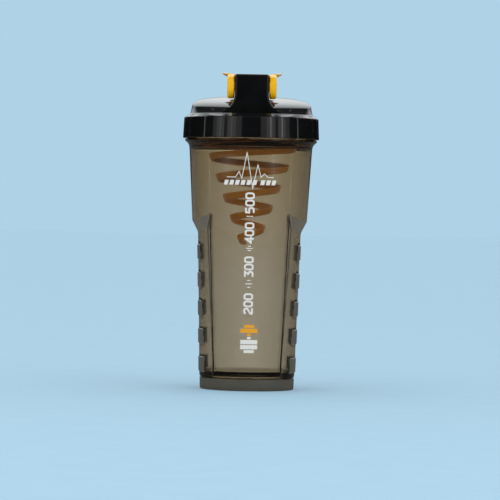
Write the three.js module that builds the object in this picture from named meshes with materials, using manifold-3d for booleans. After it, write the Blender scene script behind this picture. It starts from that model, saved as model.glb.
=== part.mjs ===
// Protein shaker bottle: a tapered translucent cup, a screw lid with a hinge tower and a drinking spout,
// a flip cap that swings over the tower, two soft seals and a conical spiral mixer that hangs from the lid.
// Millimetres, +Z up. The origin is the middle of the foot ring, on the surface the cup stands on.
// The hinge tower is at the front (-Y), the spout at the back (+Y) and the grips at the sides (+X and -X).
import * as THREE from "three";
import { mergeVertices } from "three/addons/utils/BufferGeometryUtils.js";
import Module from "manifold-3d";

const wasm = await Module();
wasm.setup();
const { PI, sin, cos, tan, sqrt, abs, min, max } = Math;
const DEG = PI / 180;
const TURN = 2 * PI;
const GAP = 0.3; // between pieces that touch or press on each other

// ---------------------------------------------------------------- driving dimensions

const WALL = 2;

const FOOT = { outer: 33.8, inner: 31.3, height: 8 };
const BOWL = { centre: 1.6, rim: 8.6 }; // underside of the bowl-shaped floor

const BODY = { bottom: 10, top: 173.5, topRadius: 44, draft: 0.056 };
const GRIP = {
  radius: 34.2, // at the foot of the recess
  draft: 0.027,
  corner: 35.2 * DEG, // where the sloping side of the recess ends, from the X axis
  edge: 46.8 * DEG, // where it starts, at the front and back panels
  shoulder: 121, // top of the recess at the X axis
  shoulderRise: 4.5, // and how much higher it is at the panels
  slope: 0.45, // depth per millimetre across the sloping sides
};
const PAD = {
  count: 5,
  first: 17.7,
  pitch: 20,
  half: 5.2,
  proud: 0.6,
  ease: 0.35, // half the width of the sloping edge
  wide: 28.5 * DEG, // half the angle that the lowest pad takes
  narrow: 18.5 * DEG, // and the highest
};

const BEAD = { radius: 47.2, top: 178.2 };
const NECK = { radius: 43, top: 193 };
const THREAD = { pitch: 4.5, turns: 1.35, height: 1.3, root: 2, crest: 1, start: 182.2 };

const COLLAR = {
  bottom: 178.7,
  top: 193.9,
  radius: 48.7, // at the crests of the lobes
  topRadius: 48,
  inner: 45,
  lobes: 8,
  offset: 11.6, // from the bottle's axis to the axis of each lobe
};
const LEDGE = 196; // foot of the raised deck
const PLUG_SKIRT = { outer: 40.5, inner: 39, bottom: 185.5, top: 195.4 };
const DECK = { radius: 42.6, foot: 43.7, rim: 201.8, tilt: 6 * DEG, bulge: 5.8, thick: 2 };

const HINGE = { y: -28.6, z: 215, tower: 8.7, ear: 8.5, pin: 2.7, socket: 3, depth: 2.4 };
const TOWER = {
  half: 11.8,
  front: -38.4,
  back: -18.4,
  brow: 1.6, // radius of the front edge of the crown
  lean: 0.6, // how far the front face leans back on its way up
  flareTop: 211,
  flareFoot: 198,
  flare: 9.2,
  wall: 3.2,
};
const SPOUT = { y: 20, outer: 12.4, bore: 10.2, foot: 203, top: 219.6 };

const EAR = { inner: 12.4, outer: 17.4 };
const ARM = { inner: 13, back: 12, bottom: 217.2, top: 224 };
const HOOD = { outer: 16, inner: 13.8, bottom: 213.4, ceiling: 221.6, top: 223 };
const PLATE = {
  front: -17.2,
  widest: 18,
  back: 36.6,
  frontHalf: 17.4,
  half: 21.3,
  top: 223.4,
  hollow: 0.0055, // how fast it rises towards both sides
  rise: 0.025, // and towards the back
  thick: 1.8,
};
const POST = { radius: 4.2, length: 3.4 };
const PLUG = { top: 9.4, bottom: 8.9, flange: 11.6, low: 214.4 };

const GASKET = { inner: 40.8, outer: 44.6, bottom: 193.35, top: 195.05 };

const MIXER = {
  ring: { inner: 36.4, outer: 38.6, lip: 40.2, bottom: 183.4, lipTop: 185.2, top: 189 },
  pitch: 14.6,
  bottom: 103.9,
  top: 185.5,
  refZ: 165.2, // where the coil has refRadius and refAngle
  refRadius: 28.9,
  refAngle: PI,
  taper: 0.368,
  wide: 4.8,
  thick: 1.6,
  perTurn: 24,
};

// ---------------------------------------------------------------- helpers

const point = (radius, angle, z) => new THREE.Vector3(radius * cos(angle), radius * sin(angle), z);
const range = (count) => Array.from({ length: count }, (_, i) => i);
const clamp01 = (x) => min(1, max(0, x));

// A solid that passes through closed rings of points, with a tip closing the first and the last ring.
// Each ring runs anticlockwise seen from the end that the rings lead to.
function skin(rings, startTip, endTip) {
  const n = rings[0].length;
  const middle = (ring) => ring.reduce((sum, p) => sum.add(p), new THREE.Vector3()).divideScalar(n);
  const points = [...rings.flat(), startTip ?? middle(rings[0]), endTip ?? middle(rings.at(-1))];
  const last = (rings.length - 1) * n;
  const faces = [];
  for (const i of range(n)) {
    const next = (i + 1) % n;
    for (const r of range(rings.length - 1)) {
      const [a, b, c, d] = [r * n + i, r * n + next, (r + 1) * n + i, (r + 1) * n + next];
      faces.push(a, b, d, a, d, c);
    }
    faces.push(points.length - 2, next, i, points.length - 1, last + i, last + next);
  }
  return new THREE.BufferGeometry().setFromPoints(points).setIndex(faces);
}

// A closed geometry as a manifold-3d solid, for cutting and joining.
function solid(geometry) {
  const bare = new THREE.BufferGeometry().setAttribute("position", geometry.getAttribute("position"));
  const merged = mergeVertices(bare.setIndex(geometry.index), 1e-4);
  const { array } = merged.attributes.position;
  const triVerts = new Uint32Array(merged.index.array);
  return new wasm.Manifold(new wasm.Mesh({ numProp: 3, vertProperties: array, triVerts }));
}

// A solid of revolution about Z from [radius, z] corners.
function lathe(corners, sides) {
  const profile = [...corners, corners[0]].map(([r, z]) => new THREE.Vector2(r, z));
  return new THREE.LatheGeometry(profile, sides).rotateX(PI / 2);
}

// A cylinder between two places on the X axis, at a height and depth.
function crossPin(radius, fromX, toX, y, z, sides) {
  const pin = new THREE.CylinderGeometry(radius, radius, toX - fromX, sides);
  return pin.rotateZ(PI / 2).translate((fromX + toX) / 2, y, z);
}

function named(name, shape, material) {
  let geometry = shape;
  if (shape instanceof wasm.Manifold) {
    const { vertProperties, triVerts } = shape.getMesh();
    geometry = new THREE.BufferGeometry()
      .setAttribute("position", new THREE.BufferAttribute(vertProperties, 3))
      .setIndex(new THREE.BufferAttribute(triVerts, 1));
    geometry.computeVertexNormals();
  }
  const mesh = new THREE.Mesh(geometry, material);
  mesh.name = name;
  return mesh;
}

const plastic = (color, roughness, extra) =>
  new THREE.MeshStandardMaterial({ color, roughness, metalness: 0, ...extra });

// A screw thread rib on a wall of the given radius. Height is negative for a rib that faces inwards.
function threadRib(wallRadius, height, startZ) {
  const steps = 40;
  const buried = -0.4 * Math.sign(height);
  const rings = range(steps + 1).map((i) => {
    const along = i / steps;
    const angle = along * THREAD.turns * TURN;
    const z = startZ + (THREAD.pitch * angle) / TURN;
    const fade = clamp01(min(along, 1 - along) * 14);
    const crest = wallRadius + height * fade + buried * 0.5 * (1 - fade);
    const corners = [
      [wallRadius + buried, -THREAD.root / 2],
      [wallRadius + buried, THREAD.root / 2],
      [crest, THREAD.crest / 2],
      [crest, -THREAD.crest / 2],
    ];
    const ring = corners.map(([radius, dz]) => point(radius, angle, z + dz));
    return height > 0 ? ring : ring.reverse();
  });
  return solid(skin(rings));
}

// ---------------------------------------------------------------- cup

// Moulded in one piece: foot ring, bowl floor, tapered body with a recessed grip each side, bead and neck.
const bodyRadius = (z) => BODY.topRadius - BODY.draft * (BODY.top - z);
const gripRadius = (z) => GRIP.radius + GRIP.draft * (z - PAD.first);
const fromXAxis = (angle) => abs(((((angle + PI / 2) % PI) + PI) % PI) - PI / 2);

function recessDepth(angle, z) {
  const side = fromXAxis(angle);
  const top = GRIP.shoulder + GRIP.shoulderRise * (side / GRIP.edge) ** 2;
  const inFromSide = (GRIP.edge - side) * bodyRadius(z);
  const full = (bodyRadius(z) - gripRadius(z)) / GRIP.slope;
  return GRIP.slope * max(0, min(full, inFromSide, top - z));
}

function padEdge(z) {
  const share = clamp01((z - PAD.first) / (PAD.pitch * (PAD.count - 1)));
  return PAD.wide + (PAD.narrow - PAD.wide) * share;
}

function padHeight(angle, z) {
  const nearest = PAD.first + PAD.pitch * min(PAD.count - 1, max(0, Math.round((z - PAD.first) / PAD.pitch)));
  const ends = clamp01((PAD.half + PAD.ease - abs(z - nearest)) / (2 * PAD.ease));
  const sides = clamp01((padEdge(z) + DEG - fromXAxis(angle)) / DEG);
  return PAD.proud * ends * sides;
}

// Angles of one ring, dense at the edges of the pads and of the recess.
function bodyAngles(z) {
  const pad = padEdge(z);
  const { corner, edge } = GRIP;
  const panel = range(4).map((i) => edge + ((PI / 2 - edge) * (i + 1)) / 4);
  const grip = [0, pad / 2, pad, pad + DEG, (pad + DEG + corner) / 2, corner, (corner + edge) / 2, edge];
  const quarter = [...grip, ...panel];
  const half = [...quarter, ...quarter.slice(0, -1).reverse().map((a) => PI - a)];
  return [...half, ...half.slice(1, -1).map((a) => a + PI)];
}

function cup() {
  const round = (radius, z) => bodyAngles(z).map((a) => point(radius, a, z));
  const wall = (a, z) => bodyRadius(z) - recessDepth(a, z);
  const outside = (z) => bodyAngles(z).map((a) => point(wall(a, z) + padHeight(a, z), a, z));
  const inside = (z) => bodyAngles(z).map((a) => point(wall(a, z) - WALL, a, z));

  const bowlAt = (radius) => BOWL.centre + (BOWL.rim - BOWL.centre) * (radius / FOOT.inner) ** 2;
  const bowlRadii = [10, 20, 27, FOOT.inner];
  const padRows = range(PAD.count).flatMap((k) => {
    const { half, ease } = PAD;
    return [-half - ease, -half + ease, half - ease, half + ease].map((dz) => PAD.first + k * PAD.pitch + dz);
  });
  const shoulderRows = [109, 112, 115, 118, 120.5, 123, 126];
  const rings = [
    ...bowlRadii.map((r) => round(r, bowlAt(r))),
    round(FOOT.inner, 0),
    round(FOOT.outer - 0.8, 0),
    round(FOOT.outer - 0.1, 0.9),
    round(FOOT.outer, FOOT.height - 0.6),
    round(FOOT.outer - 0.5, FOOT.height + 0.4),
    ...[BODY.bottom, ...padRows, ...shoulderRows, BODY.top].map(outside),
    round(BEAD.radius, BEAD.top - 1.8),
    round(BEAD.radius, BEAD.top - 0.4),
    round(BEAD.radius - 0.6, BEAD.top),
    round(NECK.radius, BEAD.top),
    round(NECK.radius, NECK.top - 0.8),
    round(NECK.radius - 0.6, NECK.top),
    round(NECK.radius - WALL + 0.5, NECK.top),
    round(NECK.radius - WALL, NECK.top - 0.7),
    round(NECK.radius - WALL, BEAD.top - 1),
    ...[BODY.top, 126, 122, 118, 114, 110, 60, BODY.bottom + 4].map(inside),
    ...[30, 20, 10].map((r) => round(r, bowlAt(r) + WALL)),
  ];
  const body = skin(rings, new THREE.Vector3(0, 0, BOWL.centre), new THREE.Vector3(0, 0, BOWL.centre + WALL));
  return solid(body).add(threadRib(NECK.radius, THREAD.height, THREAD.start));
}

// ---------------------------------------------------------------- screw lid

// Moulded in one piece: lobed collar with an internal thread, plug skirt, tilted deck, hinge tower and spout.
const deckBulge = (radius) => DECK.bulge * sqrt(max(0, 1 - (radius / DECK.radius) ** 5));

// Distance from the bottle's axis to a lobed wall whose crests are at the given radius.
function lobed(radius, angle) {
  const pitch = TURN / COLLAR.lobes;
  const fromCrest = angle - pitch * Math.round(angle / pitch);
  const { offset } = COLLAR;
  return offset * cos(fromCrest) + sqrt((radius - offset) ** 2 - (offset * sin(fromCrest)) ** 2);
}

function deckShell() {
  const sides = COLLAR.lobes * 6;
  const angles = range(sides).map((i) => ((i + 0.001) / sides) * TURN);
  const round = (radius, z) => angles.map((a) => point(radius, a, z));
  const collar = (radius, z) => angles.map((a) => point(lobed(radius, a), a, z));
  const rimAt = (radius, a) => DECK.rim + radius * sin(a) * tan(DECK.tilt);
  const tilted = (radius, lift) => angles.map((a) => point(radius, a, rimAt(radius, a) + lift));
  const { outer, inner, bottom, top } = PLUG_SKIRT;
  const underside = [14, 26, 34, inner].map((r) => tilted(r, deckBulge(r) - DECK.thick));
  const domeRadii = [1, 0.97, 0.9, 0.8, 0.64, 0.4, 0.2].map((share) => DECK.radius * share);
  const dome = domeRadii.map((r) => tilted(r, deckBulge(r)));
  const rings = [
    ...underside,
    round(inner, bottom),
    round(outer - 0.3, bottom),
    round(outer, bottom + 1),
    round(outer, top),
    round(COLLAR.inner, top),
    round(COLLAR.inner, COLLAR.bottom + 1),
    round(COLLAR.inner + 0.8, COLLAR.bottom),
    collar(COLLAR.radius - 0.5, COLLAR.bottom),
    collar(COLLAR.radius, COLLAR.bottom + 0.7),
    collar(COLLAR.topRadius, COLLAR.top - 0.8),
    collar(COLLAR.topRadius - 1, COLLAR.top),
    round(DECK.foot, LEDGE),
    ...dome,
  ];
  const peak = DECK.rim + DECK.bulge;
  const shell = skin(rings, new THREE.Vector3(0, 0, peak - DECK.thick), new THREE.Vector3(0, 0, peak));
  return solid(shell).add(threadRib(COLLAR.inner, -THREAD.height, THREAD.start - THREAD.pitch / 2 + 0.15));
}

// Flat at the front up to a rounded brow, and round at the back about the hinge's axis.
function towerBlock(half, front, back, crown, foot) {
  const { brow, lean } = TOWER;
  const browY = front + lean + brow;
  const outline = new THREE.Shape();
  outline.moveTo(front, foot);
  outline.lineTo(back, foot);
  outline.lineTo(HINGE.y + crown, HINGE.z);
  outline.absarc(HINGE.y, HINGE.z, crown, 0, PI / 2, false);
  outline.lineTo(browY, HINGE.z + crown);
  outline.absarc(browY, HINGE.z + crown - brow, brow, PI / 2, PI, false);
  outline.closePath();
  const options = { depth: 2 * half, bevelEnabled: false, curveSegments: 6 };
  return new THREE.ExtrudeGeometry(outline, options)
    .translate(0, 0, -half)
    .rotateX(PI / 2)
    .rotateZ(PI / 2); // outline's x to Y and y to Z
}

// The tower's foot widens to both sides in a hollow curve until it meets the edge of the deck.
function towerFlare() {
  const { front, flareTop, flareFoot, flare } = TOWER;
  const levels = [LEDGE, flareFoot + 0.2, 199.2, 200.6, 202.4, 204.6, 207.4, flareTop];
  const rings = levels.map((z) => {
    const fall = min(0.99, (flareTop - z) / (flareTop - flareFoot));
    const spread = flare * (1 - sqrt(1 - fall ** 2));
    const back = TOWER.back + spread * 0.5;
    const half = TOWER.half + spread;
    const corners = [[half, front], [half, back], [-half, back], [-half, front]];
    return corners.map(([x, y]) => new THREE.Vector3(x, y, z));
  });
  return skin(rings);
}

function screwLid() {
  const { outer, bore, foot, top } = SPOUT;
  const facing = new THREE.BoxGeometry(60, 12, 30).translate(0, TOWER.front - 6, LEDGE + 15);
  const spoutSide = [[outer + 0.8, foot], [outer, 212], [outer, top - 0.6], [outer - 0.6, top]];
  const spoutWall = [[0, foot], ...spoutSide, [0, top]];
  const channel = lathe([[0, 190], [bore, 190], [bore, top + 1], [0, top + 1]], 32).translate(0, SPOUT.y, 0);
  const { half, front, back, wall } = TOWER;
  const pocket = towerBlock(half - wall, front + 3.3, back - 2.5, HINGE.tower - 2.6, LEDGE - 2);
  const roof = LEDGE + 2.7;
  const behindFront = new THREE.BoxGeometry(90, 90, 30).translate(0, front + 48.3, roof);
  const drum = lathe([[0, 189], [38.6, 189], [38.6, roof], [0, roof]], 48);
  const hollow = solid(drum).intersect(solid(behindFront));
  const socketFloor = half - HINGE.depth;
  return deckShell()
    .add(solid(lathe(spoutWall, 32).translate(0, SPOUT.y, 0)))
    .subtract(solid(facing))
    .add(solid(towerFlare()))
    .add(solid(towerBlock(half, front, back, HINGE.tower, LEDGE + 1)))
    .subtract(solid(channel))
    .subtract(solid(pocket))
    .subtract(hollow)
    .subtract(solid(crossPin(HINGE.socket, socketFloor, half + 1, HINGE.y, HINGE.z, 20)))
    .subtract(solid(crossPin(HINGE.socket, -half - 1, -socketFloor, HINGE.y, HINGE.z, 20)));
}

// ---------------------------------------------------------------- soft seals

function gasket() {
  const { inner, outer, bottom, top } = GASKET;
  const r = 0.4;
  const lower = [[inner, bottom + r], [inner + r, bottom], [outer - r, bottom], [outer, bottom + r]];
  const upper = [[outer, top - r], [outer - r, top], [inner + r, top], [inner, top - r]];
  return solid(lathe([...lower, ...upper], 48));
}

// Tapered plug with a flange that lies on the rim of the spout and a blind hole for the post of the cap.
function spoutPlug() {
  const { top, bottom, flange, low } = PLUG;
  const seat = SPOUT.top + GAP;
  const roof = HOOD.ceiling - GAP;
  const hole = POST.radius + GAP;
  const holeFloor = HOOD.ceiling - POST.length - GAP;
  const taper = [[0, low], [bottom - 0.5, low], [bottom, low + 0.5], [top, seat]];
  const rim = [[flange, seat], [flange, roof], [hole, roof], [hole, holeFloor], [0, holeFloor]];
  return solid(lathe([...taper, ...rim], 32).translate(0, SPOUT.y, 0));
}

// ---------------------------------------------------------------- flip cap

// One round ear with an inward boss that snaps into the tower, and the arm that leads back from it.
function ear(side) {
  const { inner, outer } = EAR;
  const radius = HINGE.ear;
  const bossTip = TOWER.half - HINGE.depth + GAP;
  const boss = [[0, bossTip], [HINGE.pin, bossTip], [HINGE.pin, inner]];
  const rim = [[radius - 0.9, inner], [radius, inner + 0.9], [radius, outer - 1], [radius - 1, outer]];
  const disc = lathe([...boss, ...rim, [0, outer]], 30).rotateY((side * PI) / 2);
  disc.translate(0, HINGE.y, HINGE.z);
  const length = ARM.back - HINGE.y;
  const arm = new THREE.BoxGeometry(outer - ARM.inner, length, ARM.top - ARM.bottom);
  arm.translate(side * ((outer + ARM.inner) / 2), HINGE.y + length / 2, (ARM.top + ARM.bottom) / 2);
  return solid(disc).add(solid(arm));
}

// Thumb plate over the arms and the hood: broad at the back, hollow across, and rising a little to the back.
function plateHalfWidth(y) {
  const { front, widest, back, frontHalf, half } = PLATE;
  const along = (y - front) / (widest - front);
  if (y > widest) return half * sqrt(max(0, 1 - ((y - widest) / (back - widest)) ** 2));
  return frontHalf + (half - frontHalf) * along * along * (3 - 2 * along);
}

function plateTop(x, y) {
  return PLATE.top + PLATE.hollow * x * x + PLATE.rise * (y - PLATE.front);
}

function thumbPlate() {
  const { front, widest, back, thick } = PLATE;
  const sideY = range(7).map((i) => front + ((widest - front) * i) / 6);
  const backY = range(7).map((i) => widest + (back - widest) * sin(((i + 1) * PI) / 16));
  const right = [...sideY, ...backY].map((y) => [plateHalfWidth(y), y]);
  const left = right.map(([x, y]) => [-x, y]).reverse();
  const outline = [...right, [0, back], ...left];
  const middleY = (front + back) / 2;
  const layer = (share, drop) =>
    outline.map(([x, y]) => {
      const [px, py] = [x * share, middleY + (y - middleY) * share];
      return new THREE.Vector3(px, py, plateTop(px, py) - drop(px, py));
    });
  const under = (x, y) => max(thick, plateTop(x, y) - HOOD.top + 0.2);
  const flush = () => 0;
  const rings = [
    layer(0.5, under),
    layer(0.75, under),
    layer(0.98, () => thick - 0.3),
    layer(1, () => thick - 0.7),
    layer(1, () => 0.4),
    layer(0.98, flush),
    layer(0.75, flush),
    layer(0.5, flush),
  ];
  const spot = (drop) => new THREE.Vector3(0, middleY, plateTop(0, middleY) - drop);
  return solid(skin(rings, spot(thick), spot(0)));
}

function flipCap() {
  const { outer, inner, bottom, ceiling, top } = HOOD;
  const postEnd = ceiling - POST.length;
  const post = [[0, postEnd], [POST.radius, postEnd], [POST.radius, ceiling]];
  const skirt = [[inner, ceiling], [inner, bottom], [outer - 0.5, bottom], [outer, bottom + 0.5]];
  return solid(lathe([...post, ...skirt, [outer, top], [0, top]], 36).translate(0, SPOUT.y, 0))
    .add(thumbPlate())
    .add(ear(1))
    .add(ear(-1));
}

// ---------------------------------------------------------------- spiral mixer

// A flat ribbon wound on a cone, hanging from a ring that snaps into the skirt of the lid.
function ribbon() {
  const turns = (MIXER.top - MIXER.bottom) / MIXER.pitch;
  const steps = Math.round(turns * MIXER.perTurn);
  const rings = range(steps + 1).map((i) => {
    const z = MIXER.bottom + (i / steps) * (MIXER.top - MIXER.bottom);
    const angle = MIXER.refAngle + ((z - MIXER.refZ) / MIXER.pitch) * TURN;
    const radius = MIXER.refRadius + MIXER.taper * (z - MIXER.refZ);
    const half = (MIXER.wide / 2) * min(1, 0.4 + i / 8);
    const side = MIXER.thick / 2;
    const lean = MIXER.taper * half;
    const corners = [[-side - lean, -half], [-side + lean, half], [side + lean, half], [side - lean, -half]];
    return corners.map(([dr, dz]) => point(radius + dr, angle, z + dz));
  });
  return solid(skin(rings));
}

function spiralMixer() {
  const { inner, outer, lip, bottom, lipTop, top } = MIXER.ring;
  const lower = [[inner, bottom], [lip - 0.4, bottom], [lip, bottom + 0.4], [lip, lipTop]];
  const upper = [[outer, lipTop], [outer, top - 0.5], [outer - 0.5, top], [inner, top]];
  return solid(lathe([...lower, ...upper], 48)).add(ribbon());
}

// ---------------------------------------------------------------- assembly

const smoke = plastic(0x6b6248, 0.12, { transparent: true, opacity: 0.45 });
const black = plastic(0x0b0c0d, 0.12);
const amber = plastic(0xffb80a, 0.22);
const orange = plastic(0xd9780c, 0.3);
const silicone = plastic(0x2a2b2d, 0.7);
const paleSilicone = plastic(0xe9e4d8, 0.65);

const bottle = new THREE.Group();
bottle.name = "shaker_bottle";
bottle.add(named("cup", cup(), smoke));
bottle.add(named("screw_lid", screwLid(), black));
bottle.add(named("lid_gasket", gasket(), silicone));
bottle.add(named("flip_cap", flipCap(), amber));
bottle.add(named("spout_plug", spoutPlug(), paleSilicone));
bottle.add(named("spiral_mixer", spiralMixer(), orange));

export default bottle;
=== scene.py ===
import math

import bmesh
import bpy
from mathutils import Matrix, Vector


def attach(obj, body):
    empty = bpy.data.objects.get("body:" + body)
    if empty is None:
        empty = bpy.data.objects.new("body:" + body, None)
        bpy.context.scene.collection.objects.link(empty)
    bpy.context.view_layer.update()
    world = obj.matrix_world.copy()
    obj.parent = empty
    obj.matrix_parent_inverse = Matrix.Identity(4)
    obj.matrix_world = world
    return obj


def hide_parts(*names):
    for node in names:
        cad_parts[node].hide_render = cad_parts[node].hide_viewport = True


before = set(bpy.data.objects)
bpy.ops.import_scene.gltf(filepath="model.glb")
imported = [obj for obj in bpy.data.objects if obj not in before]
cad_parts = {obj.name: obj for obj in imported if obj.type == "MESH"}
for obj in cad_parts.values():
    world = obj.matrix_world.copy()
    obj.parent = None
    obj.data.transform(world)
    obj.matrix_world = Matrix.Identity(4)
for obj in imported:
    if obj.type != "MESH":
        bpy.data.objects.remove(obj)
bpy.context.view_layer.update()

# ================================================================ studio
# The bottle stands on a pale sheet that runs to the horizon, in a pale room. Soft boxes stand at the front
# left and front right, with a bright tube inside them and another out at each side, so that they show as
# upright bands in the glossy collar of the lid.

MM = 0.001
LOOK_AT = Vector((0.7, 0, 99.3)) * MM
STAND_OFF = 2178 * MM
LENS_HEIGHT = 130 * MM
LEAN = math.radians(1.04)  # the camera is held a little out of level

camera_data = bpy.data.cameras.new("camera")
camera_data.lens = 219
camera_data.sensor_width = 36
camera_data.clip_start = 0.05
camera_data.clip_end = 50
camera = bpy.data.objects.new("camera", camera_data)
camera.location = (LOOK_AT.x, -STAND_OFF, LENS_HEIGHT)
camera.rotation_mode = "QUATERNION"
facing = (LOOK_AT - camera.location).to_track_quat("-Z", "Y")
camera.rotation_quaternion = facing @ Matrix.Rotation(LEAN, 4, "Z").to_quaternion()
bpy.context.scene.collection.objects.link(camera)
bpy.context.scene.camera = camera


def new_material(name):
    """A material with one Principled shader, and its node tree, shader and link function."""
    material = bpy.data.materials.new(name)
    material.use_nodes = True
    nodes = material.node_tree.nodes
    return material, nodes, nodes["Principled BSDF"], material.node_tree.links.new


def spots(nodes, link, scale, detail, stretch=(1, 1, 1)):
    """A noise pattern fixed to the piece, drawn out along any axis with a small stretch value."""
    place = nodes.new("ShaderNodeTexCoord")
    sized = nodes.new("ShaderNodeMapping")
    sized.inputs["Scale"].default_value = stretch
    noise = nodes.new("ShaderNodeTexNoise")
    noise.inputs["Scale"].default_value = scale
    noise.inputs["Detail"].default_value = detail
    link(place.outputs["Object"], sized.inputs["Vector"])
    link(sized.outputs["Vector"], noise.inputs["Vector"])
    return noise.outputs["Fac"]


def two_tone(nodes, link, pattern, dark, light):
    """Turns a pattern into a colour between two."""
    ramp = nodes.new("ShaderNodeValToRGB")
    ramp.color_ramp.elements[0].position = 0.35
    ramp.color_ramp.elements[1].position = 0.65
    ramp.color_ramp.elements[0].color = (*dark, 1)
    ramp.color_ramp.elements[1].color = (*light, 1)
    link(pattern, ramp.inputs["Fac"])
    return ramp.outputs["Color"]


def clouded(name, scale, detail, dark, light):
    """A material whose colour drifts between two, and the pattern that it drifts by."""
    material, nodes, shader, link = new_material(name)
    pattern = spots(nodes, link, scale, detail)
    link(two_tone(nodes, link, pattern, dark, light), shader.inputs["Base Color"])
    return material, nodes, shader, link, pattern


def make_floor():
    """A wide sheet of pale blue board, which throws back neutral light and shows dark in gloss."""
    mesh = bpy.data.meshes.new("floor")
    reach = 12
    corners = [(-reach, -reach, 0), (reach, -reach, 0), (reach, reach, 0), (-reach, reach, 0)]
    mesh.from_pydata(corners, [], [(0, 1, 2, 3)])
    blues = (0.44, 0.683, 0.852), (0.455, 0.698, 0.867)
    material, nodes, shader, link, _ = clouded("pale_board", 40, 3, *blues)
    shader.inputs["Roughness"].default_value = 0.9
    shader.inputs["Specular IOR Level"].default_value = 0.1
    neutral = nodes.new("ShaderNodeBsdfDiffuse")
    path = nodes.new("ShaderNodeLightPath")
    shade = nodes.new("ShaderNodeMapRange")
    shade.inputs["To Min"].default_value = 0.75
    shade.inputs["To Max"].default_value = 0.15
    mirror_only = nodes.new("ShaderNodeMath")
    mirror_only.operation = "SUBTRACT"
    mirror_only.use_clamp = True
    link(path.outputs["Is Glossy Ray"], mirror_only.inputs[0])
    link(path.outputs["Is Transmission Ray"], mirror_only.inputs[1])
    link(mirror_only.outputs["Value"], shade.inputs["Value"])
    link(shade.outputs["Result"], neutral.inputs["Color"])
    mix = nodes.new("ShaderNodeMixShader")
    link(path.outputs["Is Camera Ray"], mix.inputs["Fac"])
    link(neutral.outputs["BSDF"], mix.inputs[1])
    link(shader.outputs["BSDF"], mix.inputs[2])
    link(mix.outputs["Shader"], nodes["Material Output"].inputs["Surface"])
    mesh.materials.append(material)
    floor = bpy.data.objects.new("floor", mesh)
    bpy.context.scene.collection.objects.link(floor)


def make_room():
    """A plain pale room, which glass and gloss see brighter behind and above, and darker beside."""
    world = bpy.data.worlds.new("room")
    world.use_nodes = True
    bpy.context.scene.world = world
    nodes = world.node_tree.nodes
    link = world.node_tree.links.new
    nodes.clear()
    path = nodes.new("ShaderNodeLightPath")
    place = nodes.new("ShaderNodeTexCoord")
    split = nodes.new("ShaderNodeSeparateXYZ")
    link(place.outputs["Generated"], split.inputs["Vector"])

    def math_of(operation, a, b=None, c=None):
        """Sum, product and the like of plain numbers or of other nodes' results."""
        node = nodes.new("ShaderNodeMath")
        node.operation = operation
        for socket, value in zip(node.inputs, (a, b, c)):
            if isinstance(value, (int, float)):
                socket.default_value = value
            elif value is not None:
                link(value, socket)
        return node.outputs["Value"]

    def rise(value, stops):
        """Runs through (place, level) stops."""
        ramp = nodes.new("ShaderNodeFloatCurve")
        link(value, ramp.inputs["Value"])
        curve = ramp.mapping.curves[0]
        points = curve.points
        while len(points) < len(stops):
            points.new(0.5, 0.5)
        for point, (x, y) in zip(points, stops):
            point.location = (x, y)
            point.handle_type = "VECTOR"
        ramp.mapping.update()
        return ramp.outputs["Value"]

    def background(colour, strength):
        """Even light of one colour."""
        shader = nodes.new("ShaderNodeBackground")
        shader.inputs["Color"].default_value = (*colour, 1)
        if isinstance(strength, (int, float)):
            shader.inputs["Strength"].default_value = strength
        else:
            link(strength, shader.inputs["Strength"])
        return shader.outputs["Background"]

    def choose(flag, if_not, if_so):
        """One of two lights, by the kind of ray that looks."""
        mix = nodes.new("ShaderNodeMixShader")
        link(flag, mix.inputs["Fac"])
        link(if_not, mix.inputs[1])
        link(if_so, mix.inputs[2])
        return mix.outputs["Shader"]

    height = math_of("MAXIMUM", split.outputs["Z"], 0.0)
    beside = math_of("ABSOLUTE", split.outputs["X"])
    # through glass: dimmer to the sides, brighter from above
    level = rise(beside, [(0, 0.72), (0.35, 0.68), (0.62, 0.36), (1, 0.3)])
    above = rise(height, [(0, 0.0), (0.2, 0.0), (0.6, 1.0), (1, 1.0)])
    through = math_of("MULTIPLY_ADD", above, GLASS_TOP_LIGHT, level)
    # mirrored: a bright wall behind, which reaches further round the higher it is
    wall = math_of("MULTIPLY_ADD", height, 0.7, split.outputs["Y"])
    wall = rise(math_of("MULTIPLY", wall, 0.5), [(0, 0.02), (0.42, 0.02), (0.48, 1.0), (1, 1.0)])
    clear_of_floor = rise(height, [(0, 0.0), (0.06, 0.04), (0.17, 1.0), (1, 1.0)])
    mirrored = math_of("MULTIPLY", wall, clear_of_floor)
    mirrored = math_of("MULTIPLY", mirrored, math_of("MULTIPLY_ADD", height, 2.2, 0.7))
    veil = rise(height, [(0, 0.0), (0.2, 0.0), (0.5, 0.12), (1, 0.12)])
    mirrored = math_of("ADD", mirrored, veil)
    # light that passes through frosted plastic counts as both gloss and glass, so glass is chosen last
    fill = background((1, 1, 1), 0.9)
    lit = choose(path.outputs["Is Camera Ray"], fill, background((0.43, 0.645, 0.79), 1))
    lit = choose(path.outputs["Is Glossy Ray"], lit, background((0.93, 0.98, 1), mirrored))
    lit = choose(path.outputs["Is Transmission Ray"], lit, background((1, 1, 1), through))
    out = nodes.new("ShaderNodeOutputWorld")
    link(lit, out.inputs["Surface"])


def soft_box(name, turn, width, brightness):
    """An upright lamp, turn degrees to the right of the camera. A tube shows only in gloss."""
    data = bpy.data.lights.new(name, "AREA")
    data.shape = "RECTANGLE"
    data.size = width
    data.size_y = BOX_HEIGHT
    data.energy = brightness * math.pi * width * BOX_HEIGHT
    lamp = bpy.data.objects.new(name, data)
    away = math.radians(turn)
    lamp.location = (BOX_DISTANCE * math.sin(away), -BOX_DISTANCE * math.cos(away), BOX_LEVEL)
    lamp.rotation_euler = (math.pi / 2, 0, away)
    lamp.visible_camera = False
    lamp.visible_transmission = False
    lamp.visible_diffuse = width > TUBE_WIDTH
    bpy.context.scene.collection.objects.link(lamp)


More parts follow.
